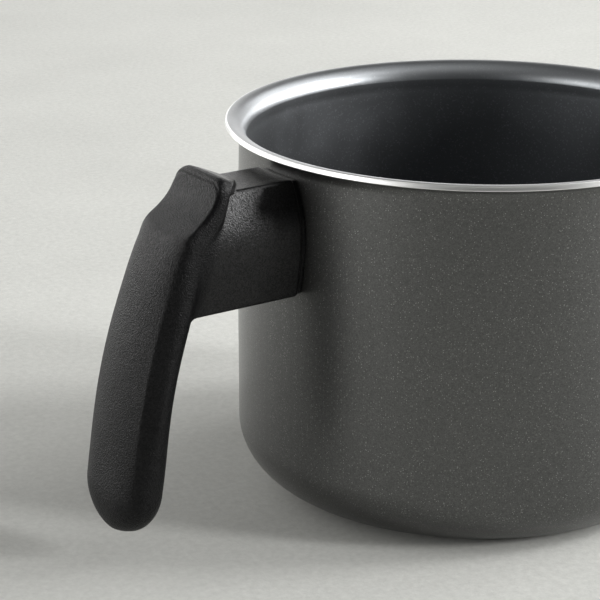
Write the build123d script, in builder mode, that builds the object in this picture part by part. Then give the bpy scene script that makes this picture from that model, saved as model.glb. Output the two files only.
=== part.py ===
from build123d import *
import math
import os

# Milk pan: a straight-sided pressed aluminium pot with a rolled-out lip, and one
# mug-style moulded handle that is carried by a riveted steel bracket.
# Frame: +Z up, origin at the middle of the underside, handle along -X.
# All lengths in millimetres.

# ---------------------------------------------------------------- pan body
RIM_R = 75.0            # outer radius of the cut edge of the lip
RIM_TOP_R = 74.55       # the cut edge leans in a little towards its top
HEIGHT = 110.25         # underside to the top of the lip
EDGE_T = 1.62           # height of the bare cut edge, the sheet's thickness there
WALL_R = 71.6           # outer radius of the wall in its lower half
NECK_R = 70.9           # outer radius just under the lip
WALL_T = 1.6            # thickness of the wall
BASE_T = 2.4            # thickness of the base
CORNER_R = 17.0         # outer radius between wall and base
TAPER_FROM = 52.0       # height at which the wall starts to draw in
LIP_BEND_R = 3.9        # radius of the hollow under the lip
LIP_Z = HEIGHT - EDGE_T - LIP_BEND_R        # height at which the lip starts to bend
RING_DEPTH = 0.3        # turned rings in the underside
RING_W = 0.9
RING_RADII = (14.0, 20.0, 26.0, 32.0, 38.0, 44.0, 50.0)

# ---------------------------------------------------------------- handle arm
ARM_TOP = 104.2         # flat top of the arm
ARM_BOTTOM = 70.7       # flat underside of the arm
ARM_TOP_HALF = 8.9      # half width at the top edge
# half widths down the bulged side of the arm, as (half width, height)
ARM_SIDE = ((9.0, 103.4), (10.9, 98.4), (12.2, 93.7), (12.9, 88.5), (12.8, 84.0),
            (12.3, 79.0), (11.8, 75.0), (11.3, 71.6))
COLLAR_L = 1.8          # narrower collar of the arm that bears on the wall
COLLAR_IN = 0.45
WALL_GAP = 0.06         # fitting gap between the moulding and the wall

# ---------------------------------------------------------------- grip
# Each station: outer point and inner point of the section in the side view as
# (distance from the pan's axis, height), the half width, and how square the
# section's outer and inner halves are.
GRIP = (
    ((130.55, 23.32), (115.62, 20.38), 14.30, 2.8, 2.4),
    ((129.15, 31.04), (114.61, 28.47), 14.78, 2.8, 2.4),
    ((127.40, 41.01), (113.69, 38.33), 15.12, 2.8, 2.4),
    ((125.29, 51.01), (112.25, 47.99), 15.24, 2.8, 2.4),
    ((122.76, 61.00), (109.95, 57.44), 15.09, 2.8, 2.4),
    ((119.68, 70.98), (107.02, 66.67), 14.72, 2.85, 2.5),
    ((116.12, 80.48), (104.37, 75.47), 14.15, 3.0, 2.8),
    ((112.99, 87.67), (102.69, 82.64), 13.49, 3.4, 3.4),
    ((111.13, 91.13), (101.63, 86.61), 13.12, 3.7, 3.9),
    ((109.80, 93.11), (100.61, 89.40), 12.93, 4.4, 4.6),
    ((107.90, 94.77), (99.50, 91.80), 12.77, 5.2, 5.6),
    ((105.27, 96.74), (98.05, 94.40), 12.60, 6.0, 7.0),
    ((102.45, 99.05), (96.55, 97.20), 12.45, 6.4, 8.0),
    ((100.35, 101.50), (95.40, 100.10), 12.30, 6.4, 8.0),
    ((98.95, 104.10), (94.50, 102.90), 12.05, 6.2, 8.0),
    ((98.10, 106.10), (93.80, 104.95), 11.60, 5.6, 6.0),
    ((97.50, 107.25), (93.50, 106.15), 10.90, 4.8, 4.6),
    ((96.80, 108.05), (93.55, 107.15), 9.90, 4.0, 3.4),
    ((96.00, 108.50), (94.00, 107.90), 8.40, 3.2, 2.8),
)
GRIP_END = 12.9         # length of the rounded lower end
TAIL_SLOPE = math.radians(21)   # fall of the head's tail towards the arm
TAIL_S = 86.6           # nearest that the tail comes to the pan's axis

# ---------------------------------------------------------------- fixing
PLATE_T = 1.5           # stamped bracket, sheet thickness
PLATE_HALF = 6.5
PLATE_Z = (75.5, 100.5)
TONGUE_T = 2.0
TONGUE_Z = 86.0         # underside of the bracket's tongue
TONGUE_END = 93.0
TONGUE_HALF = 5.0
SCREW_S = 85.0          # distance of the screw from the pan's axis
SCREW_R = 2.0
SCREW_TAP_R = 2.0
HEAD_R = 3.8
HEAD_H = 2.6
WASHER_T = 1.0
SEAT_Z = 78.2           # seat of the washer inside the arm
RIVET_R = 2.0
RIVET_Z = (80.2, 95.8)
RIVET_HEAD_R = 4.5
RIVET_HEAD_H = 1.1
RIVET_TAIL_R = 3.2
RIVET_TAIL_H = 1.6
POCKET_GAP = 0.15


def wall_r(z, off=0.0):
    """Outer radius of the wall at height z, plus an offset."""
    if z <= TAPER_FROM:
        return WALL_R + off
    q = (z - TAPER_FROM) / (LIP_Z - TAPER_FROM)
    return WALL_R - (WALL_R - NECK_R) * q * q + off


TAPER = [TAPER_FROM + (LIP_Z - TAPER_FROM) * k / 4 for k in range(5)]

# ---------------------------------------------------------------- pan body solid
with BuildPart() as pan_body:
    with BuildSketch(Plane.XZ) as pan_profile:
        with BuildLine() as pan_line:
            Line((0, 0), (WALL_R - CORNER_R, 0))
            RadiusArc((WALL_R - CORNER_R, 0), (WALL_R, CORNER_R), -CORNER_R)
            Line((WALL_R, CORNER_R), (WALL_R, TAPER_FROM))
            Spline([(wall_r(z), z) for z in TAPER], tangents=((0, 1), (0, 1)))
            RadiusArc((NECK_R, LIP_Z), (NECK_R + LIP_BEND_R, HEIGHT - EDGE_T), LIP_BEND_R)
            Line((NECK_R + LIP_BEND_R, HEIGHT - EDGE_T), (RIM_R, HEIGHT - EDGE_T + 0.05))
            Line((RIM_R, HEIGHT - EDGE_T + 0.05), (RIM_TOP_R, HEIGHT - 0.03))
            Line((RIM_TOP_R, HEIGHT - 0.03), (RIM_TOP_R - 0.15, HEIGHT))
            Line((RIM_TOP_R - 0.15, HEIGHT), (NECK_R + LIP_BEND_R - 0.5, HEIGHT))
            RadiusArc((NECK_R + LIP_BEND_R - 0.5, HEIGHT), (NECK_R - WALL_T, LIP_Z - 0.2),
                      -(LIP_BEND_R + EDGE_T))
            Spline([(wall_r(z) - WALL_T, z - 0.2 * (i == 4)) for i, z in enumerate(TAPER)][::-1],
                   tangents=((0, -1), (0, -1)))
            Line((WALL_R - WALL_T, TAPER_FROM), (WALL_R - WALL_T, CORNER_R))
            RadiusArc((WALL_R - WALL_T, CORNER_R),
                      (WALL_R - WALL_T - (CORNER_R - BASE_T), BASE_T), CORNER_R - BASE_T)
            Line((WALL_R - WALL_T - (CORNER_R - BASE_T), BASE_T), (0, BASE_T))
            Line((0, BASE_T), (0, 0))
        make_face()
    revolve(axis=Axis.Z)
    solid_shell = pan_body.part
    # turned rings in the underside
    for r in RING_RADII:
        with BuildSketch(Plane.XY):
            Circle(r + RING_W / 2)
            Circle(r - RING_W / 2, mode=Mode.SUBTRACT)
        extrude(amount=RING_DEPTH, mode=Mode.SUBTRACT)
    # two holes for the bracket's rivets, behind the handle
    for z in RIVET_Z:
        with BuildSketch(Plane.YZ.offset(-80)):
            with Locations((0, z)):
                Circle(RIVET_R)
        extrude(amount=20, mode=Mode.SUBTRACT)
pan_body.part.label = "pan_body"


# ---------------------------------------------------------------- handle moulding
def section_points(outer, inner, half, p_out, p_in, n=52):
    """Points evenly spaced round one section of the grip, from its outer middle."""
    (so, zo), (si, zi) = outer, inner
    cs, cz = (so + si) / 2, (zo + zi) / 2
    ds, dz = (so - si) / 2, (zo - zi) / 2
    depth = math.hypot(ds, dz)
    fine = []
    for k in range(721):
        t = math.pi * k / 720
        c, s = math.cos(t), math.sin(t)
        p = p_out if c >= 0 else p_in
        fine.append((math.copysign(abs(c) ** (2 / p), c), abs(s) ** (2 / p)))
    run = [0.0]
    for (u0, v0), (u1, v1) in zip(fine, fine[1:]):
        run.append(run[-1] + math.hypot((u1 - u0) * depth, (v1 - v0) * half))
    side = []
    j = 0
    for k in range(n // 2 + 1):
        want = run[-1] * k / (n // 2)
        while j < 719 and run[j + 1] < want:
            j += 1
        q = (want - run[j]) / (run[j + 1] - run[j])
        side.append((fine[j][0] + (fine[j + 1][0] - fine[j][0]) * q,
                     fine[j][1] + (fine[j + 1][1] - fine[j][1]) * q))
    side[0], side[-1] = (1.0, 0.0), (-1.0, 0.0)
    ring = side + [(u, -v) for u, v in side[-2:0:-1]]
    return [(-(cs + ds * u), half * v, cz + dz * u) for u, v in ring]


def smooth_columns(ts, rows, t):
    """Monotone cubic through the rows at position t, column by column."""
    j = 0
    while j < len(ts) - 2 and ts[j + 1] < t:
        j += 1
    out = []
    for c in range(len(rows[0])):
        ys = [r[c] for r in rows]
        slope = [(ys[i + 1] - ys[i]) / (ts[i + 1] - ts[i]) for i in range(len(ts) - 1)]
        grad = [slope[0]]
        for i in range(1, len(ts) - 1):
            a, b = slope[i - 1], slope[i]
            h0, h1 = ts[i] - ts[i - 1], ts[i + 1] - ts[i]
            w0, w1 = 2 * h1 + h0, h1 + 2 * h0
            grad.append(0.0 if a * b <= 0 else (w0 + w1) / (w0 / a + w1 / b))
        grad.append(slope[-1])
        h = ts[j + 1] - ts[j]
        q = (t - ts[j]) / h
        out.append((1 + 2 * q) * (1 - q) ** 2 * ys[j] + q * (1 - q) ** 2 * h * grad[j]
                   + q * q * (3 - 2 * q) * ys[j + 1] + q * q * (q - 1) * h * grad[j + 1])
    return out


def grip_stations():
    """Rounded lower end, then the measured stations resampled at an even pace."""
    (so, zo), (si, zi), half, p_out, p_in = GRIP[0]
    cs, cz = (so + si) / 2, (zo + zi) / 2
    (s1, z1), (s2, z2) = GRIP[1][0], GRIP[1][1]
    ax, az = cs - (s1 + s2) / 2, cz - (z1 + z2) / 2
    length = math.hypot(ax, az)
    ax, az = ax / length, az / length
    out = []
    for q in (0.992, 0.96, 0.90, 0.80, 0.65, 0.45, 0.22):
        k = math.sqrt(1 - q * q)
        kd = 1 - 0.8 * (1 - k)
        ms, mz = cs + ax * GRIP_END * q, cz + az * GRIP_END * q
        ds, dz = (so - si) / 2 * kd, (zo - zi) / 2 * kd
        out.append(((ms + ds, mz + dz), (ms - ds, mz - dz), half * k, p_out * (1 - 0.25 * q), p_in * (1 - 0.2 * q)))
    rows = [(*o, *i, h, po, pi) for o, i, h, po, pi in GRIP]
    ts = [0.0]
    for r0, r1 in zip(rows, rows[1:]):
        ts.append(ts[-1] + 0.5 * (math.hypot(r1[0] - r0[0], r1[1] - r0[1]) + math.hypot(r1[2] - r0[2], r1[3] - r0[3])))
    t, end = 0.0, ts[-1]
    while t < end - 0.4:
        c = smooth_columns(ts, rows, t)
        out.append(((c[0], c[1]), (c[2], c[3]), c[4], c[5], c[6]))
        t += min(3.4, max(0.85, 0.85 + 0.085 * (end - t - 2.0)))
    out.append(GRIP[-1])
    return out


with BuildPart() as grip_form:
    for st in grip_stations():
        pts = section_points(*st)
        (so, zo), (si, zi) = st[0], st[1]
        mid = Vector(-(so + si) / 2, 0, (zo + zi) / 2)
        xdir = Vector(-(so - si), 0, zo - zi).normalized()
        plane = Plane(origin=mid, x_dir=xdir, z_dir=xdir.cross(Vector(0, 1, 0)))
        with BuildSketch(plane):
            with BuildLine():
                add(Edge.make_spline([plane.to_local_coords(Vector(*p)) for p in pts], periodic=True,
                                     parameters=[k / len(pts) for k in range(len(pts) + 1)]))
            make_face()
    loft()

with BuildPart() as tail_form:
    # the head runs on over the arm's top as a low crowned tail that slopes down
    tail_plane = Plane(origin=(-95.3, 0, 108.35), x_dir=(0, 1, 0), z_dir=(math.cos(TAIL_SLOPE), 0, -math.sin(TAIL_SLOPE)))
    with BuildSketch(tail_plane) as tail_crown:
        with BuildLine():
            up = -1 if tail_plane.y_dir.Z < 0 else 1
            Line((-7.4, 0), (7.4, 0))
            ThreePointArc((7.4, 0), (10.3, -1.15 * up), (11.6, -4.0 * up))
            Polyline((11.6, -4.0 * up), (11.9, -7.5 * up), (-11.9, -7.5 * up), (-11.6, -4.0 * up))
            ThreePointArc((-11.6, -4.0 * up), (-10.3, -1.15 * up), (-7.4, 0))
        make_face()
    extrude(amount=12)
    with BuildSketch(Plane.XY.offset(103.2)) as tail_plan:
        with BuildLine():
            Spline((-96.2, -11.4), (-94.4, -10.7), (-91.4, -8.2), (-TAIL_S, 0), (-91.4, 8.2), (-94.4, 10.7),
                   (-96.2, 11.4))
            Line((-96.2, 11.4), (-96.2, -11.4))
        make_face()
    extrude(amount=12, mode=Mode.INTERSECT)

def arm_outline(inset=0.0):
    """Section of the arm looking along it: flat top and underside, bulged sides."""
    side = [(y - inset, z) for y, z in ARM_SIDE]
    side[0] = (side[0][0], side[0][1] - inset)
    side[-1] = (side[-1][0], side[-1][1] + inset)
    top, bottom, half = ARM_TOP - inset, ARM_BOTTOM + inset, ARM_TOP_HALF - inset
    foot = side[-1][0]
    Line((-half + 1.0, top), (half - 1.0, top))
    ThreePointArc((half - 1.0, top), (half - 0.25, top - 0.24), side[0])
    Spline(side)
    ThreePointArc(side[-1], (foot - 0.32, bottom + 0.25), (foot - 1.1, bottom))
    Line((foot - 1.1, bottom), (-foot + 1.1, bottom))
    ThreePointArc((-foot + 1.1, bottom), (-foot + 0.32, bottom + 0.25), (-foot, side[-1][1]))
    Spline([(-y, z) for y, z in side[::-1]])
    ThreePointArc((-side[0][0], side[0][1]), (-half + 0.25, top - 0.24), (-half + 1.0, top))


with BuildPart() as arm_form:
    with BuildSketch(Plane.YZ.offset(-60)):
        with BuildLine():
            arm_outline()
        make_face()
    extrude(amount=-52)
    # the arm stops inside the grip
    with BuildSketch(Plane.XZ) as arm_side:
        with BuildLine():
            Polyline((-60, 60), (-108.5, 60), (-108.5, 72), (-106.6, 82), (-103.5, 91), (-98.5, 98),
                     (-96.0, 103), (-95.0, 110), (-60, 110), (-60, 60))
        make_face()
    extrude(amount=20, both=True, mode=Mode.INTERSECT)

with BuildPart() as web_form:
    # hollow corner between the arm's underside and the grip
    with BuildSketch(Plane.XZ) as web_side:
        with BuildLine():
            Line((-104.2, ARM_BOTTOM + 0.6), (-104.2, ARM_BOTTOM))
            TangentArc((-104.2, ARM_BOTTOM), (-107.6, 67.9), tangent=(-1, 0))
            Polyline((-107.6, 67.9), (-110.5, 67.9), (-110.5, ARM_BOTTOM + 0.6), (-104.2, ARM_BOTTOM + 0.6))
        make_face()
    extrude(amount=10.6, both=True)


def round_tool(off, z0, z1):
    """Solid of the wall's outer form, grown by off, between two heights."""
    n = 6
    zs = [z0 + (z1 - z0) * k / n for k in range(n + 1)]
    with BuildPart() as tool:
        with BuildSketch(Plane.XZ):
            with BuildLine():
                Line((0, z0), (wall_r(z0, off), z0))
                Spline([(wall_r(z, off), z) for z in zs])
                Line((wall_r(z1, off), z1), (0, z1))
                Line((0, z1), (0, z0))
            make_face()
        revolve(axis=Axis.Z)
    return tool.part


wall_tool = round_tool(WALL_GAP, 62, 104.65)
collar_tool = round_tool(WALL_GAP + COLLAR_L, 62, 104.65)
plate_tool = round_tool(PLATE_T, 62, 104.65)

with BuildPart() as collar_form:
    with BuildSketch(Plane.YZ.offset(-60)):
        with BuildLine():
            arm_outline(COLLAR_IN)
        make_face()
    extrude(amount=-17)
    add(wall_tool, mode=Mode.SUBTRACT)

with BuildPart() as handle:
    add(grip_form.part)
    add(tail_form.part)
    add(arm_form.part)
    add(web_form.part)
    add(collar_tool, mode=Mode.SUBTRACT)
    add(collar_form.part)
    # socket for the bracket, open towards the wall
    with BuildSketch(Plane.YZ.offset(-60)):
        with Locations((0, (PLATE_Z[0] + PLATE_Z[1]) / 2)):
            RectangleRounded(2 * PLATE_HALF + 1.6, PLATE_Z[1] - PLATE_Z[0] + 1.6, 1.5)
    extrude(amount=-(76.4 - 60), mode=Mode.SUBTRACT)
    # slot for the bracket's tongue
    with BuildSketch(Plane.YZ.offset(-60)):
        with Locations((0, TONGUE_Z + TONGUE_T / 2)):
            Rectangle(2 * TONGUE_HALF + 2 * POCKET_GAP, TONGUE_T + 2 * POCKET_GAP)
    extrude(amount=-(TONGUE_END + 1.0 - 60), mode=Mode.SUBTRACT)
    # clearance for the screw's tip above the tongue
    with BuildSketch(Plane.XY.offset(TONGUE_Z)):
        with Locations((-SCREW_S, 0)):
            Circle(SCREW_R + 0.5)
    extrude(amount=6.0, mode=Mode.SUBTRACT)
    # screw hole and head recess in the underside
    with BuildSketch(Plane.XY.offset(SEAT_Z - 1)):
        with Locations((-SCREW_S, 0)):
            Circle(SCREW_R + 0.25)
    extrude(amount=TONGUE_Z - SEAT_Z + 1.5, mode=Mode.SUBTRACT)
    with BuildSketch(Plane.XY.offset(ARM_BOTTOM - 2)):
        with Locations((-SCREW_S, 0)):
            Circle(HEAD_R + 0.5)
    extrude(amount=SEAT_Z - ARM_BOTTOM + 2, mode=Mode.SUBTRACT)
handle.part.label = "handle"

# ---------------------------------------------------------------- bracket
with BuildPart() as handle_bracket:
    # curved plate that lies on the wall
    with BuildSketch(Plane.YZ.offset(-70.5)):
        with Locations((0, (PLATE_Z[0] + PLATE_Z[1]) / 2)):
            RectangleRounded(2 * PLATE_HALF, PLATE_Z[1] - PLATE_Z[0], 1.2)
    extrude(amount=-10)
    add(plate_tool, mode=Mode.INTERSECT)
    add(solid_shell, mode=Mode.SUBTRACT)
    # tongue pressed out of the plate, standing away from the wall
    with BuildSketch(Plane.XY.offset(TONGUE_Z)):
        with BuildLine():
            Polyline((-71.6, -TONGUE_HALF), (-TONGUE_END + 2, -TONGUE_HALF), (-TONGUE_END, -TONGUE_HALF + 2),
                     (-TONGUE_END, TONGUE_HALF - 2), (-TONGUE_END + 2, TONGUE_HALF), (-71.6, TONGUE_HALF),
                     (-71.6, -TONGUE_HALF))
        make_face()
    extrude(amount=TONGUE_T)
    # gussets in the bend
    for side in (-1, 1):
        with BuildSketch(Plane.XZ.offset(side * 3.4)):
            with BuildLine():
                Polyline((-72.0, TONGUE_Z + TONGUE_T), (-75.4, TONGUE_Z + TONGUE_T), (-72.0, TONGUE_Z + TONGUE_T + 3.2),
                         (-72.0, TONGUE_Z + TONGUE_T))
            make_face()
        extrude(amount=0.6, both=True)
    # tapped hole for the handle screw
    with BuildSketch(Plane.XY.offset(TONGUE_Z - 1)):
        with Locations((-SCREW_S, 0)):
            Circle(SCREW_TAP_R)
    extrude(amount=TONGUE_T + 2, mode=Mode.SUBTRACT)
    # rivet holes
    for z in RIVET_Z:
        with BuildSketch(Plane.YZ.offset(-60)):
            with Locations((0, z)):
                Circle(RIVET_R)
        extrude(amount=-20, mode=Mode.SUBTRACT)
handle_bracket.part.label = "handle_bracket"

# ---------------------------------------------------------------- rivets
with BuildPart() as rivet_heads:
    for z in RIVET_Z:
        # low domed head inside the pan
        with BuildSketch(Plane.YZ.offset(-(WALL_R - WALL_T) + RIVET_HEAD_H)):
            with Locations((0, z)):
                Circle(RIVET_HEAD_R)
        extrude(amount=-2)
    chamfer(rivet_heads.edges().filter_by(GeomType.CIRCLE).group_by(Axis.X)[-1], 0.45)
    add(solid_shell, mode=Mode.SUBTRACT)

with BuildPart() as rivet_tails:
    for z in RIVET_Z:
        # headed over on the bracket's plate
        with BuildSketch(Plane.YZ.offset(-wall_r(z, PLATE_T) + 0.6)):
            with Locations((0, z)):
                Circle(RIVET_TAIL_R)
        extrude(amount=-RIVET_TAIL_H - 0.6)
    fillet(rivet_tails.edges().filter_by(GeomType.CIRCLE).group_by(Axis.X)[0], 0.7)
    add(plate_tool, mode=Mode.SUBTRACT)

with BuildPart() as bracket_rivets:
    for z in RIVET_Z:
        with BuildSketch(Plane.YZ.offset(-69.0)):
            with Locations((0, z)):
                Circle(RIVET_R)
        extrude(amount=-(wall_r(z, PLATE_T) - 69.0 + 0.3))
    add(rivet_heads.part)
    add(rivet_tails.part)
bracket_rivets.part.label = "bracket_rivets"

# ---------------------------------------------------------------- handle screw
with BuildPart() as handle_screw:
    head_z = SEAT_Z - WASHER_T - HEAD_H
    with BuildSketch(Plane.XY.offset(head_z)):
        with Locations((-SCREW_S, 0)):
            Circle(HEAD_R)
    extrude(amount=HEAD_H)
    fillet(handle_screw.edges().group_by(Axis.Z)[0], 1.1)
    with BuildSketch(Plane.XY.offset(head_z + HEAD_H)):
        with Locations((-SCREW_S, 0)):
            Circle(SCREW_R)
    extrude(amount=TONGUE_Z + TONGUE_T + 1.6 - head_z - HEAD_H)
    chamfer(handle_screw.edges().group_by(Axis.Z)[-1], 0.5)
    # cross recess
    with BuildSketch(Plane.XY.offset(head_z)):
        with Locations((-SCREW_S, 0)):
            Rectangle(4.2, 0.85)
            Rectangle(0.85, 4.2)
    extrude(amount=1.5, mode=Mode.SUBTRACT)
handle_screw.part.label = "handle_screw"

with BuildPart() as lock_washer:
    # split spring washer under the screw's head
    with BuildSketch(Plane.XY.offset(SEAT_Z - WASHER_T)):
        with Locations((-SCREW_S, 0)):
            Circle(3.6)
            Circle(SCREW_R + 0.1, mode=Mode.SUBTRACT)
            with Locations(Location((3.0, 0.0), 25)):
                Rectangle(3.2, 0.7, mode=Mode.SUBTRACT)
    extrude(amount=WASHER_T)
lock_washer.part.label = "lock_washer"

# ---------------------------------------------------------------- files
os.makedirs("parts", exist_ok=True)
export_step(pan_body.part, "parts/pan_body.step")
export_step(handle.part, "parts/handle.step")
export_step(handle_bracket.part, "parts/handle_bracket.step")
export_step(bracket_rivets.part, "parts/bracket_rivets.step")
export_step(handle_screw.part, "parts/handle_screw.step")
export_step(lock_washer.part, "parts/lock_washer.step")
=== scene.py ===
import bpy
import math
import numpy as np
from mathutils import Matrix, Vector


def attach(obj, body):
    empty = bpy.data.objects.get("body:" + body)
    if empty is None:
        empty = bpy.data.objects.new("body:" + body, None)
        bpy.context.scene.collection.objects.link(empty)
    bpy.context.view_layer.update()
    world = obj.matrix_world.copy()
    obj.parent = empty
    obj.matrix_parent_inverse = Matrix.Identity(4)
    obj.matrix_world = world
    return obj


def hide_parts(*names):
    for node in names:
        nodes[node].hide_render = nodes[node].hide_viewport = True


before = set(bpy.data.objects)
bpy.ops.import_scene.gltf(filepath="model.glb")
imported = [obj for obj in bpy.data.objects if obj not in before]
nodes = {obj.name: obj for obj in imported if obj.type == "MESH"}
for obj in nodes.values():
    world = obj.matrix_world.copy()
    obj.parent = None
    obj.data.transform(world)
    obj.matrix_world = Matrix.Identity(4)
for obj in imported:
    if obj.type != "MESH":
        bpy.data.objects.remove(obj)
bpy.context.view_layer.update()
MM = 0.001

# ------------------------------------------------------------------ helpers


def new_object(name, mesh):
    obj = bpy.data.objects.new(name, mesh)
    bpy.context.scene.collection.objects.link(obj)
    return obj


def new_mesh(name, verts, faces, smooth=True):
    mesh = bpy.data.meshes.new(name)
    mesh.from_pydata([tuple(map(float, v)) for v in verts], [], [tuple(map(int, f)) for f in faces])
    mesh.update()
    if smooth:
        mesh.polygons.foreach_set("use_smooth", [True] * len(mesh.polygons))
    return mesh


def outward(verts, faces):
    """Faces turned so that the closed mesh has a positive volume."""
    v = np.asarray(verts, float)
    vol = 0.0
    for f in faces:
        a = v[f[0]]
        for i in range(1, len(f) - 1):
            vol += float(np.dot(a, np.cross(v[f[i]], v[f[i + 1]])))
    return faces if vol > 0 else [tuple(reversed(f)) for f in faces]


def evaluated(obj):
    dg = bpy.context.evaluated_depsgraph_get()
    dg.update()
    return bpy.data.meshes.new_from_object(obj.evaluated_get(dg))


def combine(obj, tool, operation):
    """obj with one boolean done; both scratch objects are used up."""
    mod = obj.modifiers.new("combine", "BOOLEAN")
    mod.operation, mod.object, mod.solver = operation, tool, "EXACT"
    mesh = evaluated(obj)
    name = obj.name
    old = obj.data
    bpy.data.objects.remove(obj)
    bpy.data.meshes.remove(old)
    return new_object(name, mesh)


def drop(*objs):
    for o in objs:
        old = o.data
        bpy.data.objects.remove(o)
        bpy.data.meshes.remove(old)


def arc3(p0, p1, p2, n):
    """n points on the circle arc from p0 through p1 to p2."""
    (ax, ay), (bx, by), (cx, cy) = p0, p1, p2
    d = 2 * (ax * (by - cy) + bx * (cy - ay) + cx * (ay - by))
    ux = ((ax**2 + ay**2) * (by - cy) + (bx**2 + by**2) * (cy - ay) + (cx**2 + cy**2) * (ay - by)) / d
    uy = ((ax**2 + ay**2) * (cx - bx) + (bx**2 + by**2) * (ax - cx) + (cx**2 + cy**2) * (bx - ax)) / d
    r = math.hypot(ax - ux, ay - uy)
    a0, a1, a2 = (math.atan2(y - uy, x - ux) for x, y in (p0, p1, p2))
    turn = (a2 - a0) % (2 * math.pi)
    if (a1 - a0) % (2 * math.pi) > turn:
        turn -= 2 * math.pi
    return [(ux + r * math.cos(a0 + turn * k / (n - 1)), uy + r * math.sin(a0 + turn * k / (n - 1))) for k in range(n)]


def arc(cx, cy, r, a0, a1, n):
    return [(cx + r * math.cos(math.radians(a0 + (a1 - a0) * k / (n - 1))),
             cy + r * math.sin(math.radians(a0 + (a1 - a0) * k / (n - 1)))) for k in range(n)]


# ------------------------------------------------------------------ pan body
RIM_R, RIM_TOP_R, HEIGHT, EDGE_T = 75.0, 74.55, 110.25, 1.62
WALL_R, NECK_R, WALL_T, BASE_T, CORNER_R = 71.6, 70.9, 1.6, 2.4, 17.0
TAPER_FROM, LIP_BEND_R = 52.0, 3.9
LIP_Z = HEIGHT - EDGE_T - LIP_BEND_R
RINGS = (14.0, 20.0, 26.0, 32.0, 38.0, 44.0, 50.0)


def wall_r(z, off=0.0):
    if z <= TAPER_FROM:
        return WALL_R + off
    q = (z - TAPER_FROM) / (LIP_Z - TAPER_FROM)
    return WALL_R - (WALL_R - NECK_R) * q * q + off


def pan_profile():
    """(r, z, zone) from the middle of the underside, out, up, over the lip and down inside."""
    out = []

    def put(points, zone):
        for r, z in points:
            out.append((r, z, zone))

    # underside with turned rings, bare inside a painted margin
    rs = [0.0, 2.0, 5.0, 8.0, 11.0]
    under = [(r, 0.0) for r in rs]
    for c in RINGS:
        under += [(c - 0.62, 0.0), (c - 0.5, 0.02), (c - 0.42, 0.09), (c - 0.33, 0.22), (c - 0.22, 0.285), (c, 0.3),
                  (c + 0.22, 0.285), (c + 0.33, 0.22), (c + 0.42, 0.09), (c + 0.5, 0.02), (c + 0.62, 0.0)]
        under += [(c + 2.0, 0.0), (c + 3.4, 0.0)] if c < 50 else [(c + 1.6, 0.0)]
    put(under, 0)
    put([(52.6, 0.0), (52.9, 0.03), (53.4, 0.03), (54.0, 0.0)], 1)
    put(arc(WALL_R - CORNER_R, CORNER_R, CORNER_R, -90, 0, 40), 1)
    put([(WALL_R, z) for z in np.linspace(CORNER_R + 1, TAPER_FROM, 20)], 1)
    put([(wall_r(z), z) for z in np.linspace(TAPER_FROM + 2, LIP_Z, 30)], 1)
    bend = arc(NECK_R + LIP_BEND_R, LIP_Z, LIP_BEND_R, 180, 90, 22)[1:]
    put(bend, 1)
    # cut edge: trimmed face with a slight roll on both of its corners
    z0 = HEIGHT - EDGE_T
    put([(NECK_R + LIP_BEND_R + 0.02, z0 + 0.003)], 1)
    put([(RIM_R - 0.11, z0 + 0.012), (RIM_R - 0.045, z0 + 0.05), (RIM_R - 0.008, z0 + 0.12), (RIM_R, z0 + 0.2),
         (RIM_R - 0.012, z0 + 0.3), (RIM_R - 0.045, z0 + 0.4), (RIM_R - 0.075, z0 + 0.55), (RIM_R - 0.12, z0 + 0.75),
         (RIM_R - 0.165, z0 + 0.93), (RIM_R - 0.2, z0 + 1.08), (RIM_R - 0.22, z0 + 1.18), (RIM_R - 0.222, z0 + 1.28),
         (RIM_R - 0.235, z0 + 1.38), (RIM_R - 0.29, z0 + 1.48), (RIM_R - 0.38, z0 + 1.56), (RIM_R - 0.5, z0 + 1.605),
         (RIM_R - 0.62, z0 + EDGE_T)], 2)
    # lip top and inside
    r1 = LIP_BEND_R + EDGE_T
    put([(NECK_R + LIP_BEND_R - 0.45, HEIGHT)], 3)
    put(arc(NECK_R + LIP_BEND_R - 0.5, HEIGHT - r1, r1, 90, 178, 40), 3)
    put([(wall_r(z) - WALL_T, z) for z in np.linspace(LIP_Z - 1.5, TAPER_FROM, 26)], 3)
    put([(WALL_R - WALL_T, z) for z in np.linspace(TAPER_FROM - 2, CORNER_R + 1, 14)], 3)
    rc = CORNER_R - BASE_T
    put(arc(WALL_R - WALL_T - rc, CORNER_R, rc, 0, -90, 32), 3)
    put([(r, BASE_T) for r in (52, 47, 41, 34, 26, 18, 11, 5, 0.0)], 3)
    return out


def lathe(name, profile, seg):
    r = np.array([p[0] for p in profile])
    z = np.array([p[1] for p in profile])
    zone = [p[2] for p in profile]
    n = len(profile)
    ang = np.arange(seg) * 2 * math.pi / seg
    verts = [(0.0, 0.0, z[0] * MM)]
    rings = []
    for i in range(1, n - 1):
        rings.append(len(verts))
        verts.extend(np.stack([r[i] * MM * np.cos(ang), r[i] * MM * np.sin(ang), np.full(seg, z[i] * MM)], 1).tolist())
    last = len(verts)
    verts.append((0.0, 0.0, z[-1] * MM))
    faces, zones = [], []
    for j in range(seg):
        k = (j + 1) % seg
        faces.append((0, rings[0] + k, rings[0] + j))
        zones.append(zone[0])
    for i in range(len(rings) - 1):
        a, b = rings[i], rings[i + 1]
        for j in range(seg):
            k = (j + 1) % seg
            faces.append((a + j, a + k, b + k, b + j))
            zones.append(zone[i + 1] if zone[i + 1] == zone[i + 2] or zone[i + 2] == 3 else zone[i + 2])
    for j in range(seg):
        k = (j + 1) % seg
        faces.append((last, rings[-1] + j, rings[-1] + k))
        zones.append(zone[-1])
    mesh = new_mesh(name, verts, faces)
    mesh.polygons.foreach_set("material_index", zones)
    return new_object(name, mesh)


pan = lathe("pan_shell", pan_profile(), 384)

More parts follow.
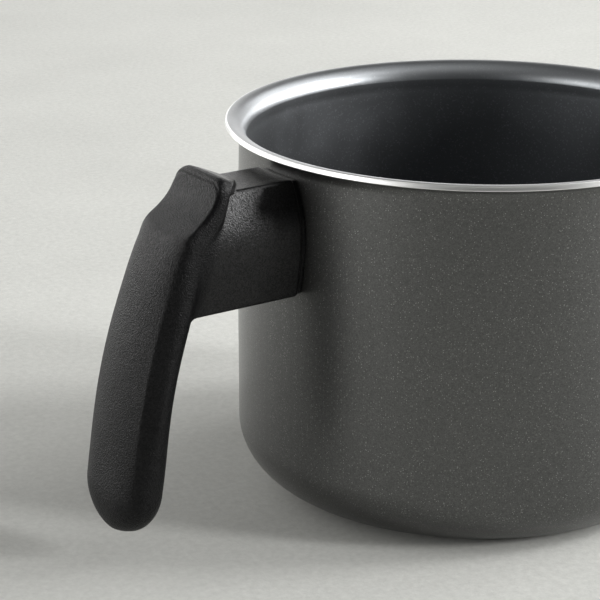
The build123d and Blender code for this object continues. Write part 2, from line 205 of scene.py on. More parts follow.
# ------------------------------------------------------------------ handle
# outer and inner point of each section as (distance from the axis, height), half
# width, squareness of the outer and inner half
GRIP = (
    (130.55, 23.32, 115.62, 20.38, 14.30, 2.8, 2.4), (129.15, 31.04, 114.61, 28.47, 14.78, 2.8, 2.4),
    (127.40, 41.01, 113.69, 38.33, 15.12, 2.8, 2.4), (125.29, 51.01, 112.25, 47.99, 15.24, 2.8, 2.4),
    (122.76, 61.00, 109.95, 57.44, 15.09, 2.8, 2.4), (119.68, 70.98, 107.02, 66.67, 14.72, 2.85, 2.5),
    (116.12, 80.48, 104.37, 75.47, 14.15, 3.0, 2.8), (112.99, 87.67, 102.69, 82.64, 13.49, 3.4, 3.4),
    (111.13, 91.13, 101.63, 86.61, 13.12, 3.7, 3.9), (109.50, 93.70, 100.61, 89.40, 12.93, 4.4, 4.6),
    (107.80, 94.95, 99.50, 91.80, 12.77, 5.2, 5.6), (105.27, 96.74, 98.05, 94.40, 12.60, 6.0, 7.0),
    (102.45, 99.05, 96.55, 97.20, 12.45, 6.4, 8.0), (100.35, 101.50, 95.40, 100.10, 12.30, 6.4, 8.0),
    (98.95, 104.10, 94.50, 102.90, 12.05, 6.2, 8.0), (98.22, 106.05, 93.80, 104.95, 11.60, 5.6, 6.0),
    (97.72, 107.15, 93.50, 106.15, 10.90, 4.8, 4.6), (97.00, 107.95, 93.55, 107.15, 9.90, 4.0, 3.4),
    (96.00, 108.45, 94.00, 107.90, 8.40, 3.2, 2.8))
GRIP_END = 12.9
CREASE = 9               # row of the crease under the thumb rest
ARM_TOP, ARM_BOTTOM, ARM_TOP_HALF = 104.2, 70.7, 8.9
ARM_SIDE = ((9.0, 103.4), (10.9, 98.4), (12.2, 93.7), (12.9, 88.5), (12.8, 84.0), (12.3, 79.0), (11.8, 75.0), (11.3, 71.6))
TAIL_S, TAIL_SLOPE = 86.6, math.radians(21)


def ring_shape(half, depth, p_out, p_in, m, crisp=0.0, edge_u=0.735, edge_v=0.825):
    """2m points round a unit section, evenly spaced along its real outline. With crisp
    the outer half is a crowned face and a side that meet in an edge, which lies at
    edge_u of the half depth and edge_v of the half width."""
    t = np.linspace(0, math.pi, 1441)
    c, s = np.cos(t), np.sin(t)
    p = np.where(c >= 0, p_out, p_in)
    u = np.sign(c) * np.abs(c) ** (2 / p)
    v = np.abs(s) ** (2 / p)
    if crisp > 0:
        k = int(np.sum(c >= 0))
        far = np.concatenate([[0], np.cumsum(np.hypot(np.diff(u[:k]) * depth, np.diff(v[:k]) * half))])
        va = np.linspace(0, edge_v, 60)
        ua = 1 - (1 - edge_u) * (va / edge_v) ** 2
        q = np.linspace(0, 1, 60)[1:]
        u1 = max(edge_u - half * (1 - edge_v) * math.tan(math.radians(52)) / depth, 0.12)
        ub = (1 - q) ** 2 * edge_u + 2 * q * (1 - q) * u1
        vb = (1 - q) ** 2 * edge_v + 2 * q * (1 - q) + q * q
        ua, va = np.concatenate([ua, ub]), np.concatenate([va, vb])
        run = np.concatenate([[0], np.cumsum(np.hypot(np.diff(ua) * depth, np.diff(va) * half))])
        at = far / far[-1] * run[-1]
        u[:k] += crisp * (np.interp(at, run, ua) - u[:k])
        v[:k] += crisp * (np.interp(at, run, va) - v[:k])
    run = np.concatenate([[0], np.cumsum(np.hypot(np.diff(u) * depth, np.diff(v) * half))])
    want = np.linspace(0, run[-1], m + 1)
    uu, vv = np.interp(want, run, u), np.interp(want, run, v)
    return np.concatenate([uu, uu[-2:0:-1]]), np.concatenate([vv, -vv[-2:0:-1]])


def pchip(ts, ys, t):
    h = np.diff(ts)
    sl = np.diff(ys) / h
    g = np.zeros(len(ts))
    g[0], g[-1] = sl[0], sl[-1]
    for i in range(1, len(ts) - 1):
        a, b = sl[i - 1], sl[i]
        if a * b > 0:
            w0, w1 = 2 * h[i] + h[i - 1], h[i] + 2 * h[i - 1]
            g[i] = (w0 + w1) / (w0 / a + w1 / b)
    j = np.clip(np.searchsorted(ts, t, side="right") - 1, 0, len(ts) - 2)
    q = (t - ts[j]) / h[j]
    return ((1 + 2 * q) * (1 - q) ** 2 * ys[j] + q * (1 - q) ** 2 * h[j] * g[j] + q * q * (3 - 2 * q) * ys[j + 1]
            + q * q * (q - 1) * h[j] * g[j + 1])


def grip_rows():
    """Rows of GRIP every 0.5 mm, eased along the length, with their positions and the crease's."""
    rows = np.array(GRIP)
    step = 0.5 * (np.hypot(np.diff(rows[:, 0]), np.diff(rows[:, 1])) + np.hypot(np.diff(rows[:, 2]), np.diff(rows[:, 3])))
    ts = np.concatenate([[0], np.cumsum(step)])
    t = np.arange(0, ts[-1] + 1e-6, 0.5)
    t[-1] = ts[-1]
    cols = np.stack([pchip(ts, rows[:, c], t) for c in range(7)], 1)
    soft = np.where(t < ts[6], 4.5, np.where(t < ts[7], 2.5, 0.7))
    soft = np.minimum(soft, np.minimum(t, ts[-1] - t) * 0.45 + 1e-3)
    eased = cols.copy()
    for i in range(len(t)):
        w = np.exp(-0.5 * ((t - t[i]) / max(soft[i], 1e-3)) ** 2)
        eased[i] = (w[:, None] * cols).sum(0) / w.sum()
    return t, eased, ts[CREASE]


def grip_mesh(m=84):
    t, rows, tc = grip_rows()
    a0, i0 = rows[0, :2], rows[0, 2:4]
    c0 = (a0 + i0) / 2
    c1 = (rows[12, :2] + rows[12, 2:4]) / 2
    ax = (c0 - c1) / np.linalg.norm(c0 - c1)
    rings = []
    qs = np.sin(np.linspace(0.999, 0.02, 26) * math.pi / 2)
    for q in qs:
        k = math.sqrt(max(1 - q * q, 1e-5))
        kd = 1 - 0.8 * (1 - k)
        mid = c0 + ax * GRIP_END * q
        half = rows[0, 4] * k
        d = (a0 - i0) / 2 * kd
        u, v = ring_shape(half, np.linalg.norm(d), rows[0, 5] * (1 - 0.25 * q), rows[0, 6] * (1 - 0.2 * q), m)
        s = mid[0] + d[0] * u
        z = mid[1] + d[1] * u
        rings.append(np.stack([-s, half * v, z], 1))
    mids = (rows[:, :2] + rows[:, 2:4]) / 2
    tan = np.gradient(mids, axis=0)
    tan /= np.linalg.norm(tan, axis=1)[:, None]
    for i in range(len(t)):
        o, n_, half, po, pi = rows[i, :2], rows[i, 2:4], rows[i, 4], rows[i, 5], rows[i, 6]
        depth = np.linalg.norm(o - n_) / 2
        crisp = np.interp(o[1], [23, 34, 44, 71, 82, 93, 95.5, 103.5, 106.5], [0, 0.5, 1, 1, 0.4, 0.25, 1, 1, 0.3])
        edge_u, edge_v = np.interp(o[1], [91, 95.5], [0.735, 0.91]), np.interp(o[1], [91, 95.5], [0.825, 0.935])
        u, v = ring_shape(half, depth, po, pi, m, crisp, edge_u, edge_v)
        # the crease under the thumb rest sags in the middle
        near = np.clip(1 - abs(t[i] - tc) / 13.0, 0, 1)
        near = near * near * (3 - 2 * near)
        shift = (1.5 * v * v - 0.75) * near * np.clip(u, 0, 1)
        tt = np.clip(t[i] - shift, 0, t[-1])
        so, zo = np.interp(tt, t, rows[:, 0]), np.interp(tt, t, rows[:, 1])
        si, zi = np.interp(tt, t, rows[:, 2]), np.interp(tt, t, rows[:, 3])
        s = (so + si) / 2 + (so - si) / 2 * u + tan[i, 0] * shift
        z = (zo + zi) / 2 + (zo - zi) / 2 * u + tan[i, 1] * shift
        rings.append(np.stack([-s, half * v, z], 1))
    n = 2 * m
    verts = np.concatenate(rings).tolist()
    faces = []
    for i in range(len(rings) - 1):
        for j in range(n):
            k = (j + 1) % n
            faces.append((i * n + j, i * n + k, (i + 1) * n + k, (i + 1) * n + j))
    for ring, first in ((0, True), (len(rings) - 1, False)):
        c = len(verts)
        verts.append(np.mean(rings[ring], 0).tolist())
        for j in range(n):
            k = (j + 1) % n
            f = (c, ring * n + k, ring * n + j)
            faces.append(f if first else tuple(reversed(f)))
    return verts, outward(verts, faces)


def arm_half(inset=0.0):
    """Right-hand outline of the arm's section from its underside to its top, as (y, z)."""
    zs = np.array([p[1] for p in ARM_SIDE])
    ys = np.array([p[0] for p in ARM_SIDE])
    mid = (zs - 87.5) / 16
    fit = np.polyfit(mid, ys, 5)
    foot, head = 11.3 - inset, 9.0 - inset
    z_dense = np.linspace(71.6 + inset, 103.4 - inset, 60)
    y_dense = np.polyval(fit, (z_dense - 87.5) / 16) - inset
    y_dense += np.interp(z_dense, [z_dense[0], z_dense[0] + 3, z_dense[-1] - 3, z_dense[-1]],
                         [foot - y_dense[0], 0, 0, head - y_dense[-1]])
    low = arc3((foot - 1.1, ARM_BOTTOM + inset), (foot - 0.32, ARM_BOTTOM + inset + 0.25), (foot, 71.6 + inset), 9)
    top = arc3((head, 103.4 - inset), (ARM_TOP_HALF - inset - 0.25, ARM_TOP - inset - 0.24),
               (ARM_TOP_HALF - inset - 1.0, ARM_TOP - inset), 9)
    return low[:-1] + list(zip(y_dense, z_dense)) + top[1:]


def prism_along_x(name, half, x0, x_end):
    """Closed bar between x0 and -x_end(z) with a mirror-symmetric section."""
    n = len(half)
    verts = []
    for y, z in half:
        xe = -x_end(z)
        verts += [(x0, y, z), (x0, -y, z), (xe, y, z), (xe, -y, z)]
    faces = []
    for i in range(n - 1):
        a, b = 4 * i, 4 * (i + 1)
        faces += [(a, b, b + 1, a + 1), (a + 2, a + 3, b + 3, b + 2), (a, a + 2, b + 2, b), (a + 1, b + 1, b + 3, a + 3)]
    faces += [(0, 1, 3, 2), (4 * n - 4, 4 * n - 2, 4 * n - 1, 4 * n - 3)]
    return new_object(name, new_mesh(name, verts, outward(verts, faces), False))


def prism(name, poly, to3d0, to3d1):
    n = len(poly)
    verts = [to3d0(*p) for p in poly] + [to3d1(*p) for p in poly]
    faces = [tuple(range(n))[::-1], tuple(range(n, 2 * n))]
    faces += [(i, (i + 1) % n, n + (i + 1) % n, n + i) for i in range(n)]
    return new_object(name, new_mesh(name, verts, outward(verts, faces), False))


def round_tool(name, off, z0=62.0, z1=104.65, seg=288):
    zs = np.linspace(z0, z1, 14)
    verts, faces = [(0, 0, z0)], []
    for z in zs:
        r = wall_r(z, off)
        verts += [(r * math.cos(2 * math.pi * j / seg), r * math.sin(2 * math.pi * j / seg), z) for j in range(seg)]
    verts.append((0, 0, z1))
    for i in range(len(zs) - 1):
        a, b = 1 + i * seg, 1 + (i + 1) * seg
        faces += [(a + j, a + (j + 1) % seg, b + (j + 1) % seg, b + j) for j in range(seg)]
    top = 1 + (len(zs) - 1) * seg
    for j in range(seg):
        faces.append((0, 1 + (j + 1) % seg, 1 + j))
        faces.append((len(verts) - 1, top + j, top + (j + 1) % seg))
    return new_object(name, new_mesh(name, verts, outward(verts, faces), False))


def rod(name, x, r, z0, z1, seg=64):
    poly = [(x + r * math.cos(2 * math.pi * j / seg), r * math.sin(2 * math.pi * j / seg)) for j in range(seg)]
    return prism(name, poly, lambda a, b: (a, b, z0), lambda a, b: (a, b, z1))


def box_mesh(name, x0, x1, y, z0, z1, r=0.0):
    if r:
        poly = (arc(y - r, z1 - r, r, 0, 90, 8) + arc(-y + r, z1 - r, r, 90, 180, 8)
                + arc(-y + r, z0 + r, r, 180, 270, 8) + arc(y - r, z0 + r, r, 270, 360, 8))
    else:
        poly = [(y, z0), (y, z1), (-y, z1), (-y, z0)]
    return prism(name, poly, lambda a, b: (x0, a, b), lambda a, b: (x1, a, b))


def smooth_through(points, n):
    """Catmull-Rom curve through the points."""
    p = [np.array(q, float) for q in points]
    p = [2 * p[0] - p[1]] + p + [2 * p[-1] - p[-2]]
    out = []
    for i in range(1, len(p) - 2):
        for k in range(n):
            t = k / n
            out.append(tuple(0.5 * (2 * p[i] + (p[i + 1] - p[i - 1]) * t + (2 * p[i - 1] - 5 * p[i] + 4 * p[i + 1] - p[i + 2]) * t * t
                                    + (3 * p[i] - p[i - 1] - 3 * p[i + 1] + p[i + 2]) * t ** 3)))
    out.append(tuple(p[-2]))
    return out


def raw_arm():
    """Arm with its wall collar, bracket socket, tongue slot and screw recess."""
    end_z = np.array([60, 72, 82, 91, 98, 103, 110.0])
    end_s = np.array([108.5, 108.5, 106.6, 103.5, 98.5, 96.0, 95.0])
    arm = prism_along_x("arm_raw", arm_half(), -60.0, lambda z: float(np.interp(z, end_z, end_s)))
    collar = prism_along_x("collar_raw", arm_half(0.45), -60.0, lambda z: 77.0)
    tool = round_tool("tool", 0.06 + 1.8)
    arm = combine(arm, tool, "DIFFERENCE")
    drop(tool)
    tool = round_tool("tool", 0.06)
    collar = combine(collar, tool, "DIFFERENCE")
    drop(tool)
    socket = box_mesh("socket", -60, -76.4, 7.3, 74.7, 101.3, 1.5)
    slot = box_mesh("slot", -60, -94.0, 5.15, 85.85, 88.15)
    tip = rod("tip", -85.0, 2.5, 86.0, 92.0)
    shank = rod("shank", -85.0, 2.25, 77.2, 86.5)
    recess = rod("recess", -85.0, 4.3, 68.7, 78.2)
    for cut in (socket, slot, tip, shank, recess):
        arm = combine(arm, cut, "DIFFERENCE")
    for cut in (socket, slot):
        collar = combine(collar, cut, "DIFFERENCE")
    drop(socket, slot, tip, shank, recess)
    return arm, collar


def raw_tail():
    ex = np.array([math.cos(TAIL_SLOPE), 0, -math.sin(TAIL_SLOPE)])
    ey = np.array([0, 1, 0])
    ez = np.array([math.sin(TAIL_SLOPE), 0, math.cos(TAIL_SLOPE)])
    base = np.array([-95.3, 0, 108.35])
    right = arc3((7.4, 0), (10.5, -1.2), (11.9, -4.2), 16)
    poly = [(-7.4, 0)] + right + [(12.0, -9.5), (-12.0, -9.5)] + [(-y, z) for y, z in right[::-1][:-1]]
    crown = prism("crown", poly, lambda a, b: tuple(base + ey * a + ez * b), lambda a, b: tuple(base + ex * 12 + ey * a + ez * b))
    curve = smooth_through([(-96.6, -12.0), (-94.9, -11.8), (-93.4, -10.8), (-91.3, -8.3), (-TAIL_S, 0), (-91.3, 8.3), (-93.4, 10.8),
                            (-94.9, 11.8), (-96.6, 12.0)], 14)
    plan = prism("plan", curve, lambda a, b: (a, b, 103.8), lambda a, b: (a, b, 115.2))
    crown = combine(crown, plan, "INTERSECT")
    drop(plan)
    return crown


def raw_web():
    q = arc3((-105.2, ARM_BOTTOM), (-106.6, 70.1), (-107.3, 68.7), 12)
    poly = [(-105.2, ARM_BOTTOM + 0.6)] + q + [(-110.5, 68.7), (-110.5, ARM_BOTTOM + 0.6)]
    return prism("web", poly, lambda a, b: (a, -10.6, b), lambda a, b: (a, 10.6, b))


def make_handle(voxel):
    parts = [*raw_arm(), raw_tail(), raw_web()]
    gv, gf = grip_mesh()
    verts, faces = list(gv), list(gf)
    for o in parts:
        base = len(verts)
        verts += [tuple(v.co) for v in o.data.vertices]
        faces += [tuple(base + i for i in p.vertices) for p in o.data.polygons]
    drop(*parts)
    whole = new_object("handle_raw", new_mesh("handle_raw", verts, faces, False))
    mod = whole.modifiers.new("skin", "REMESH")
    mod.mode, mod.voxel_size, mod.adaptivity = "VOXEL", voxel, 0.0
    mesh = evaluated(whole)
    drop(whole)
    n = len(mesh.vertices)
    co = np.zeros(n * 3)
    mesh.vertices.foreach_get("co", co)
    co = co.reshape(-1, 3)
    edges = np.zeros(len(mesh.edges) * 2, np.int64)
    mesh.edges.foreach_get("vertices", edges)
    a, b = edges.reshape(-1, 2).T
    count = np.bincount(a, minlength=n) + np.bincount(b, minlength=n)
    s, z, y = -co[:, 0], co[:, 2].copy(), np.abs(co[:, 1])
    rows = np.array(GRIP)
    order = np.argsort(rows[:, 3])
    inner = np.interp(z, rows[order, 3], rows[order, 2])
    # soft hollow where the arm's side runs into the grip, below the step
    junction = np.exp(-((s - inner) / 3.4) ** 2) * np.clip((92.0 - z) / 5.0, 0, 1) * np.clip((z - 72.5) / 3.0, 0, 1)
    junction *= np.clip((y - 8.0) / 2.5, 0, 1)

    def relax(co, amount, rounds):
        for _ in range(rounds):
            total = np.stack([np.bincount(a, co[b, k], n) + np.bincount(b, co[a, k], n) for k in range(3)], 1)
            co = co + (total / count[:, None] - co) * amount[:, None]
        return co

    co = relax(co, np.full(n, 0.5), 4)
    co = relax(co, 0.6 * junction, 110)
    # fine groove that frames the thumb rest
    mesh.vertices.foreach_set("co", co.ravel())
    mesh.update()
    nor = np.zeros(n * 3)
    mesh.vertices.foreach_get("normal", nor)
    nor = nor.reshape(-1, 3)
    up = np.argsort(rows[:, 1])
    face_s = np.interp(co[:, 2], rows[up, 1], rows[up, 0])
    wide = np.interp(co[:, 2], [90, 94.8, 99, 101.5, 110], [12.95, 12.75, 12.5, 12.35, 12.3]) - 0.72
    qx, qz = np.abs(co[:, 1]) - (wide - 4.2), co[:, 2] - (107.05 - 4.2)
    d = np.hypot(np.maximum(qx, 0), np.maximum(qz, 0)) + np.minimum(np.maximum(qx, qz), 0) - 4.2
    groove = np.exp(-(d / 0.4) ** 2) * np.clip((co[:, 2] - 94.3) / 4.0, 0, 1) * (-co[:, 0] > face_s - 1.9)
    groove[co[:, 2] < 90] = 0
    co = co - nor * (0.15 * groove)[:, None]
    co = relax(co, 0.4 * np.clip(groove * 3, 0, 1), 1)
    arm = np.clip((inner - 0.15 - s) / 0.35, 0, 1) * (s > 70)
    arm = np.where(z < 92.5, np.clip((inner + 0.6 - s) / 3.0, 0, 1), arm)
    mesh.vertices.foreach_set("co", (co * MM).ravel())
    for name, value in (("arm", arm), ("groove", groove)):
        layer = mesh.attributes.new(name, "FLOAT", "POINT")
        layer.data.foreach_set("value", value.astype(np.float32))
    mesh.update()
    mesh.polygons.foreach_set("use_smooth", [True] * len(mesh.polygons))
    return new_object("handle_moulding", mesh)


handle = make_handle(0.25)

# ------------------------------------------------------------------ materials


class Nodes:
    """Short way to write a node tree."""

    def __init__(self, name):
        self.mat = bpy.data.materials.new(name)
        self.mat.use_nodes = True
        self.tree = self.mat.node_tree
        self.tree.nodes.clear()
        self.out = self.add("ShaderNodeOutputMaterial")
        self.bsdf = self.add("ShaderNodeBsdfPrincipled")
        self.link(self.bsdf.outputs[0], self.out.inputs["Surface"])
        self.coord = self.add("ShaderNodeTexCoord").outputs["Object"]

    def add(self, kind, **props):
        node = self.tree.nodes.new(kind)
        for k, v in props.items():
            setattr(node, k, v)
        return node

    def link(self, a, b):
        self.tree.links.new(a, b)

    def put(self, socket, value):
        if hasattr(value, "links") or isinstance(value, bpy.types.NodeSocket):
            self.link(value, socket)
        else:
            socket.default_value = value

    def set(self, **values):
        names = {"color": "Base Color", "rough": "Roughness", "metal": "Metallic", "ior": "IOR", "spec": "Specular IOR Level",
                 "normal": "Normal", "coat": "Coat Weight", "coat_rough": "Coat Roughness", "aniso": "Anisotropic"}
        for k, v in values.items():
            self.put(self.bsdf.inputs[names[k]], v)

    def math(self, op, a, b=0.0, c=0.0, clamp=False):
        node = self.add("ShaderNodeMath", operation=op, use_clamp=clamp)
        for i, v in enumerate((a, b, c)):
            self.put(node.inputs[i], v)
        return node.outputs[0]

    def ramp(self, value, lo, hi, out_lo=0.0, out_hi=1.0, smooth=False):
        node = self.add("ShaderNodeMapRange", interpolation_type="SMOOTHSTEP" if smooth else "LINEAR")
        self.put(node.inputs[0], value)
        for i, v in ((1, lo), (2, hi), (3, out_lo), (4, out_hi)):
            self.put(node.inputs[i], v)
        return node.outputs[0]

    def noise(self, scale, detail=2.0, rough=0.5, vector=None, output=0):
        node = self.add("ShaderNodeTexNoise")
        self.link(vector or self.coord, node.inputs["Vector"])
        node.inputs["Scale"].default_value = scale
        node.inputs["Detail"].default_value = detail
        node.inputs["Roughness"].default_value = rough
        return node.outputs[output]

    def cells(self, scale, output="Distance", feature="F1", vector=None, randomness=1.0):
        node = self.add("ShaderNodeTexVoronoi", feature=feature)
        self.link(vector or self.coord, node.inputs["Vector"])
        node.inputs["Scale"].default_value = scale
        node.inputs["Randomness"].default_value = randomness
        return node.outputs[output]

    def mix(self, f, a, b):
        node = self.add("ShaderNodeMix", data_type="RGBA")
        self.put(node.inputs[0], f)
        for i, v in ((6, a), (7, b)):
            self.put(node.inputs[i], (*v, 1.0) if isinstance(v, tuple) and len(v) == 3 else v)
        return node.outputs[2]

    def mixf(self, f, a, b):
        node = self.add("ShaderNodeMix", data_type="FLOAT")
        for i, v in ((0, f), (2, a), (3, b)):
            self.put(node.inputs[i], v)
        return node.outputs[0]

    def bump(self, height, strength, distance, normal=None):
        node = self.add("ShaderNodeBump")
        self.put(node.inputs["Height"], height)
        self.put(node.inputs["Strength"], strength)
        self.put(node.inputs["Distance"], distance)
        if normal is not None:
            self.link(normal, node.inputs["Normal"])
        return node.outputs[0]

    def xyz(self):
        node = self.add("ShaderNodeSeparateXYZ")
        self.link(self.coord, node.inputs[0])
        return node.outputs

    def attr(self, name):
        return self.add("ShaderNodeAttribute", attribute_name=name).outputs["Fac"]

    def vec(self, x, y, z):
        node = self.add("ShaderNodeCombineXYZ")
        for i, v in enumerate((x, y, z)):
            self.put(node.inputs[i], v)
        return node.outputs[0]


def exterior_coating():
    """Metallic lacquer: every flake has its own shade and tilt, a few of them sparkle."""
    n = Nodes("pan_exterior")
    sep = n.add("ShaderNodeSeparateColor")
    n.link(n.cells(3600.0, "Color"), sep.inputs[0])
    shade = sep.outputs[0]
    glint = n.add("ShaderNodeSeparateColor")
    n.link(n.cells(2700.0, "Color"), glint.inputs[0])
    small = n.ramp(n.cells(2700.0, "Distance"), 0.28, 0.45, 1.0, 0.0)
    sparkle = n.math("MULTIPLY", n.ramp(glint.outputs[0], 0.86, 0.96), small)
    cloud = n.noise(26.0, 3.0, 0.55)
    base = n.mix(n.ramp(cloud, 0.3, 0.7), (0.074, 0.0745, 0.0725), (0.084, 0.0845, 0.082))
    dark = n.mix(shade, (0.044, 0.044, 0.043), (0.116, 0.117, 0.114))
    flakes = n.mix(0.62, base, dark)
    n.set(color=n.mix(n.math("MULTIPLY", sparkle, 0.8), flakes, (0.34, 0.34, 0.33)))
    n.set(metal=0.97, spec=0.5, coat=0.7, coat_rough=0.34)
    n.set(rough=n.mixf(sep.outputs[1], 0.34, 0.44))
    fine = n.bump(sep.outputs[2], 0.2, 0.00012)
    n.set(normal=n.bump(n.noise(700.0, 2.0), 0.12, 0.00008, fine))
    return n.mat


def interior_coating():
    n = Nodes("pan_interior")
    cloud = n.noise(30.0, 3.0, 0.5)
    base = n.mix(n.ramp(cloud, 0.3, 0.7), (0.130, 0.139, 0.149), (0.144, 0.153, 0.163))
    # painted highlight: the coat's colour is made lighter over the lip, from 99 mm up to 107 mm high, standing in for
    # the light that falls on the lip's top
    base = n.mix(n.ramp(n.xyz()[2], 0.099, 0.107, 0.0, 1.0, True), base, (0.262, 0.276, 0.289))
    speck = n.cells(2600.0, "Color")
    sep = n.add("ShaderNodeSeparateColor")
    n.link(speck, sep.inputs[0])
    n.set(color=n.mix(n.ramp(sep.outputs[0], 0.86, 1.0, 0.0, 0.4), base, (0.38, 0.395, 0.41)))
    n.set(metal=0.92, rough=n.ramp(n.noise(90.0, 2.0), 0.3, 0.7, 0.34, 0.4), spec=0.5, coat=1.0, coat_rough=0.42)
    peel = n.bump(n.noise(620.0, 3.0, 0.6), 0.22, 0.0001)
    n.set(normal=n.bump(sep.outputs[1], 0.06, 0.00008, peel))
    return n.mat


def cut_edge():
    """Trimmed aluminium: fine marks that run round the rim."""
    n = Nodes("pan_cut_edge")
    x, y, z = n.xyz()
    angle = n.math("ARCTAN2", y, x)
    run = n.vec(n.math("MULTIPLY", angle, 3.0), n.math("MULTIPLY", z, 9000.0), 0.0)
    streak = n.noise(1.0, 4.0, 0.6, run)
    nick = n.noise(1400.0, 2.0, 0.6)
    n.set(color=n.mix(n.ramp(streak, 0.3, 0.75), (0.70, 0.70, 0.70), (0.78, 0.78, 0.77)))
    n.set(metal=1.0, rough=n.ramp(streak, 0.3, 0.7, 0.34, 0.42))
    n.set(normal=n.bump(nick, 0.06, 0.00005, n.bump(streak, 0.06, 0.00006)))
    return n.mat


def turned_base():
    """Underside: bare aluminium with turning marks and light rubbing from the hob."""
    n = Nodes("pan_turned_base")
    x, y, z = n.xyz()
    r = n.math("SQRT", n.math("ADD", n.math("MULTIPLY", x, x), n.math("MULTIPLY", y, y)))
    angle = n.math("ARCTAN2", y, x)
    turn = n.noise(1.0, 3.0, 0.6, n.vec(n.math("MULTIPLY", r, 4200.0), n.math("MULTIPLY", n.math("COSINE", angle), 0.6),
                                        n.math("MULTIPLY", n.math("SINE", angle), 0.6)))
    rub = n.noise(120.0, 5.0, 0.65)
    dull = n.ramp(rub, 0.42, 0.62)
    n.set(color=n.mix(n.ramp(turn, 0.3, 0.7), (0.62, 0.62, 0.62), (0.80, 0.80, 0.79)))
    n.set(metal=1.0, rough=n.mixf(dull, 0.3, 0.38))
    n.set(normal=n.bump(turn, 0.35, 0.00012))
    return n.mat


def moulding():
    """Black phenolic, fine spark texture; the arm is smoother and glossier than the grip."""
    n = Nodes("handle_phenolic")
    arm = n.attr("arm")
    grain = n.noise(2900.0, 2.0, 0.6)
    pits = n.cells(2500.0, "Distance", "SMOOTH_F1")
    speck = n.add("ShaderNodeSeparateColor")
    n.link(n.cells(2700.0, "Color"), speck.inputs[0])
    cloud = n.noise(55.0, 3.0, 0.55)
    n.set(color=n.mix(n.ramp(cloud, 0.3, 0.7), (0.0028, 0.0028, 0.0031), (0.0042, 0.0042, 0.0046)))
    n.set(rough=n.mixf(arm, n.ramp(grain, 0.3, 0.7, 0.4, 0.5), n.ramp(grain, 0.3, 0.7, 0.27, 0.34)))
    # painted shade: the reflection is turned down to 0.45 of its strength along the groove round the thumb rest, which
    # darkens the groove line
    gloss_and_groove_shade = n.math("MULTIPLY", n.mixf(arm, 0.155, 0.28), n.ramp(n.attr("groove"), 0.2, 0.9, 1.0, 0.45))
    n.set(spec=n.math("MULTIPLY", gloss_and_groove_shade, n.ramp(speck.outputs[0], 0.0, 1.0, 0.62, 1.38)))
    low = n.bump(grain, n.mixf(arm, 0.7, 0.3), 0.0002)
    n.set(normal=n.bump(pits, n.mixf(arm, 0.6, 0.25), 0.00025, low))
    return n.mat


def plated_steel(name, tint, rough):
    n = Nodes(name)
    stripe = n.noise(1.0, 3.0, 0.6, n.vec(n.math("MULTIPLY", n.xyz()[0], 900.0), n.math("MULTIPLY", n.xyz()[1], 5200.0),
                                           n.math("MULTIPLY", n.xyz()[2], 900.0)))
    blot = n.noise(420.0, 4.0, 0.6)
    dark = tuple(c * 0.74 for c in tint)
    n.set(color=n.mix(n.ramp(blot, 0.35, 0.65), dark, tint))
    n.set(metal=1.0, rough=n.ramp(stripe, 0.3, 0.7, rough - 0.07, rough + 0.09))
    n.set(normal=n.bump(stripe, 0.12, 0.00008))
    return n.mat


def paint_node(name, material):
    mesh = nodes[name].data
    if mesh.materials:
        for i in range(len(mesh.materials)):
            mesh.materials[i] = material
    else:
        mesh.materials.append(material)


for m in (turned_base(), exterior_coating(), cut_edge(), interior_coating()):
    pan.data.materials.append(m)
handle.data.materials.append(moulding())
paint_node("handle_bracket", plated_steel("bracket_zinc", (0.62, 0.62, 0.63), 0.34))
paint_node("bracket_rivets", plated_steel("rivet_aluminium", (0.80, 0.80, 0.81), 0.3))
screw_metal = plated_steel("screw_zinc", (0.66, 0.66, 0.67), 0.27)
paint_node("handle_screw", screw_metal)
paint_node("lock_washer", screw_metal)

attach(pan, "root")
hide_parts("pan_body")
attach(handle, "root")
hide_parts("handle")

# ------------------------------------------------------------------ stage


def floor_material():
    n = Nodes("floor_pale")
    wide = n.noise(9.0, 4.0, 0.6)
    fine = n.noise(420.0, 5.0, 0.7)
    both = n.math("ADD", n.math("MULTIPLY", wide, 0.35), n.math("MULTIPLY", fine, 0.65))
    n.set(color=n.mix(n.ramp(both, 0.36, 0.64), (0.520, 0.523, 0.497), (0.625, 0.628, 0.597)))
    n.set(rough=0.85, spec=0.2)
    n.set(normal=n.bump(fine, 0.15, 0.001))
    return n.mat


floor = new_object("floor", new_mesh("floor", [(-12, -12, 0), (12, -12, 0), (12, 12, 0), (-12, 12, 0)], [(0, 1, 2, 3)]))
floor.data.materials.append(floor_material())

FWD = Vector((0.564, 0.826, 0.0)).normalized()      # away from the camera, along the floor
RIGHT = Vector((FWD.y, -FWD.x, 0.0))


def softbox(name, right, back, up, distance, size, power, target=(0, 0, 0.06), color=(1, 1, 1)):
    d = (RIGHT * right + FWD * back + Vector((0, 0, up))).normalized()
    light = bpy.data.lights.new(name, "AREA")
    light.shape = "RECTANGLE"
    light.size, light.size_y = size
    light.energy = power
    light.color = color
    obj = bpy.data.objects.new(name, light)
    obj.location = Vector(target) + d * distance
    obj.rotation_euler = (-d).to_track_quat("-Z", "Y").to_euler()
    obj.visible_camera = False
    bpy.context.scene.collection.objects.link(obj)
    return obj


# panels of the large window to the right: bearing from the camera's right towards the
# back, height in degrees, width, height in metres, power
PANELS = (
    (8, 14, 0.7, 0.9, 30.0), (8, 32, 0.7, 0.9, 34.0), (-12, 47, 1.1, 0.9, 9.0), (30, 47, 1.1, 0.9, 9.0),
    (51, 30, 1.1, 0.9, 9.0), (31, 15, 1.1, 0.9, 20.0), (-16, 18, 0.4, 0.8, 58.0),
)
for k, (bearing, height, wide, tall, power) in enumerate(PANELS):
    a, e = math.radians(bearing), math.radians(height)
    softbox("window_%d" % k, math.cos(a) * math.cos(e), math.sin(a) * math.cos(e), math.sin(e), 3.0, (wide, tall), power)

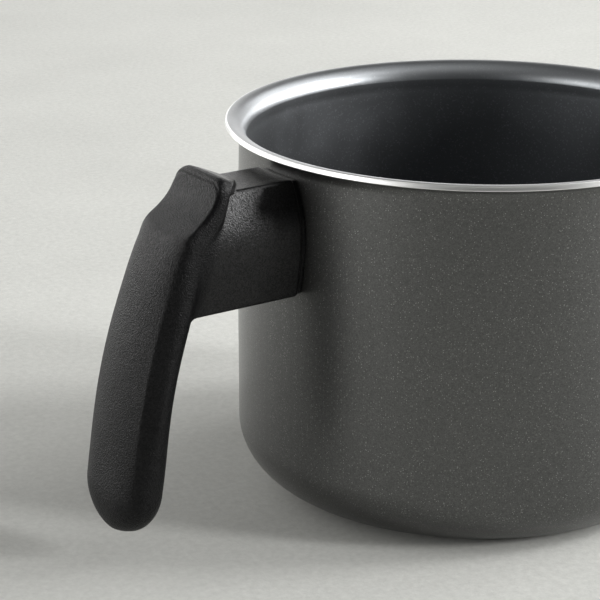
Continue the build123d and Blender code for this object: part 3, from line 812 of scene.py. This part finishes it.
# wide soft lights far from the pan: bearing, height, tightness, strength
SOFT_LIGHTS = (
    (5, 4, 20.0, 1.0), (35, 4, 20.0, 4.2),                         # sill of the window
    (90, 4, 20.0, 1.8), (120, 4, 20.0, 4.0), (150, 4, 20.0, 6.0),  # low windows behind
    (120, 20, 20.0, 0.6),
    (180, 4, 20.0, 2.2), (208, 4, 20.0, 5.4), (180, 38, 20.0, 0.35),  # pale wall to the left
    (-25, 66, 12.0, 0.45), (270, 66, 6.0, 0.3), (0, 90, 5.0, 0.06),                       # ceiling
)


def studio_world():
    world = bpy.data.worlds.new("studio")
    bpy.context.scene.world = world
    world.use_nodes = True
    t = world.node_tree
    t.nodes.clear()
    out = t.nodes.new("ShaderNodeOutputWorld")
    bg = t.nodes.new("ShaderNodeBackground")
    t.links.new(bg.outputs[0], out.inputs[0])
    coord = t.nodes.new("ShaderNodeTexCoord").outputs["Generated"]

    def math_node(op, a, b, c=0.0):
        m = t.nodes.new("ShaderNodeMath")
        m.operation = op
        for i, v in enumerate((a, b, c)):
            if isinstance(v, (int, float)):
                m.inputs[i].default_value = v
            else:
                t.links.new(v, m.inputs[i])
        return m.outputs[0]

    total = None
    for bearing, height, tight, strength in SOFT_LIGHTS:
        a, e = math.radians(bearing), math.radians(height)
        d = (RIGHT * math.cos(a) + FWD * math.sin(a)) * math.cos(e) + Vector((0, 0, math.sin(e)))
        dot = t.nodes.new("ShaderNodeVectorMath")
        dot.operation = "DOT_PRODUCT"
        t.links.new(coord, dot.inputs[0])
        dot.inputs[1].default_value = d
        power = math_node("MULTIPLY_ADD", dot.outputs["Value"], tight, -tight)
        lobe = math_node("MULTIPLY", math_node("POWER", math.e, power), strength)
        total = lobe if total is None else math_node("ADD", total, lobe)
    total = math_node("ADD", total, 0.004)
    t.links.new(total, bg.inputs["Strength"])
    bg.inputs["Color"].default_value = (1.0, 0.995, 0.985, 1.0)


studio_world()

scene = bpy.context.scene
scene.view_settings.view_transform = "Standard"
scene.view_settings.look = "None"

# ------------------------------------------------------------------ camera
cam_data = bpy.data.cameras.new("camera")
cam_data.sensor_width = 36.0
cam_data.sensor_fit = "HORIZONTAL"
cam_data.lens = 133.353
cam = bpy.data.objects.new("camera", cam_data)
cam.location = (-0.40414, -0.49908, 0.27367)
cam.rotation_euler = (math.radians(70.938), 0.0, math.radians(-34.285))
scene.collection.objects.link(cam)
scene.camera = cam
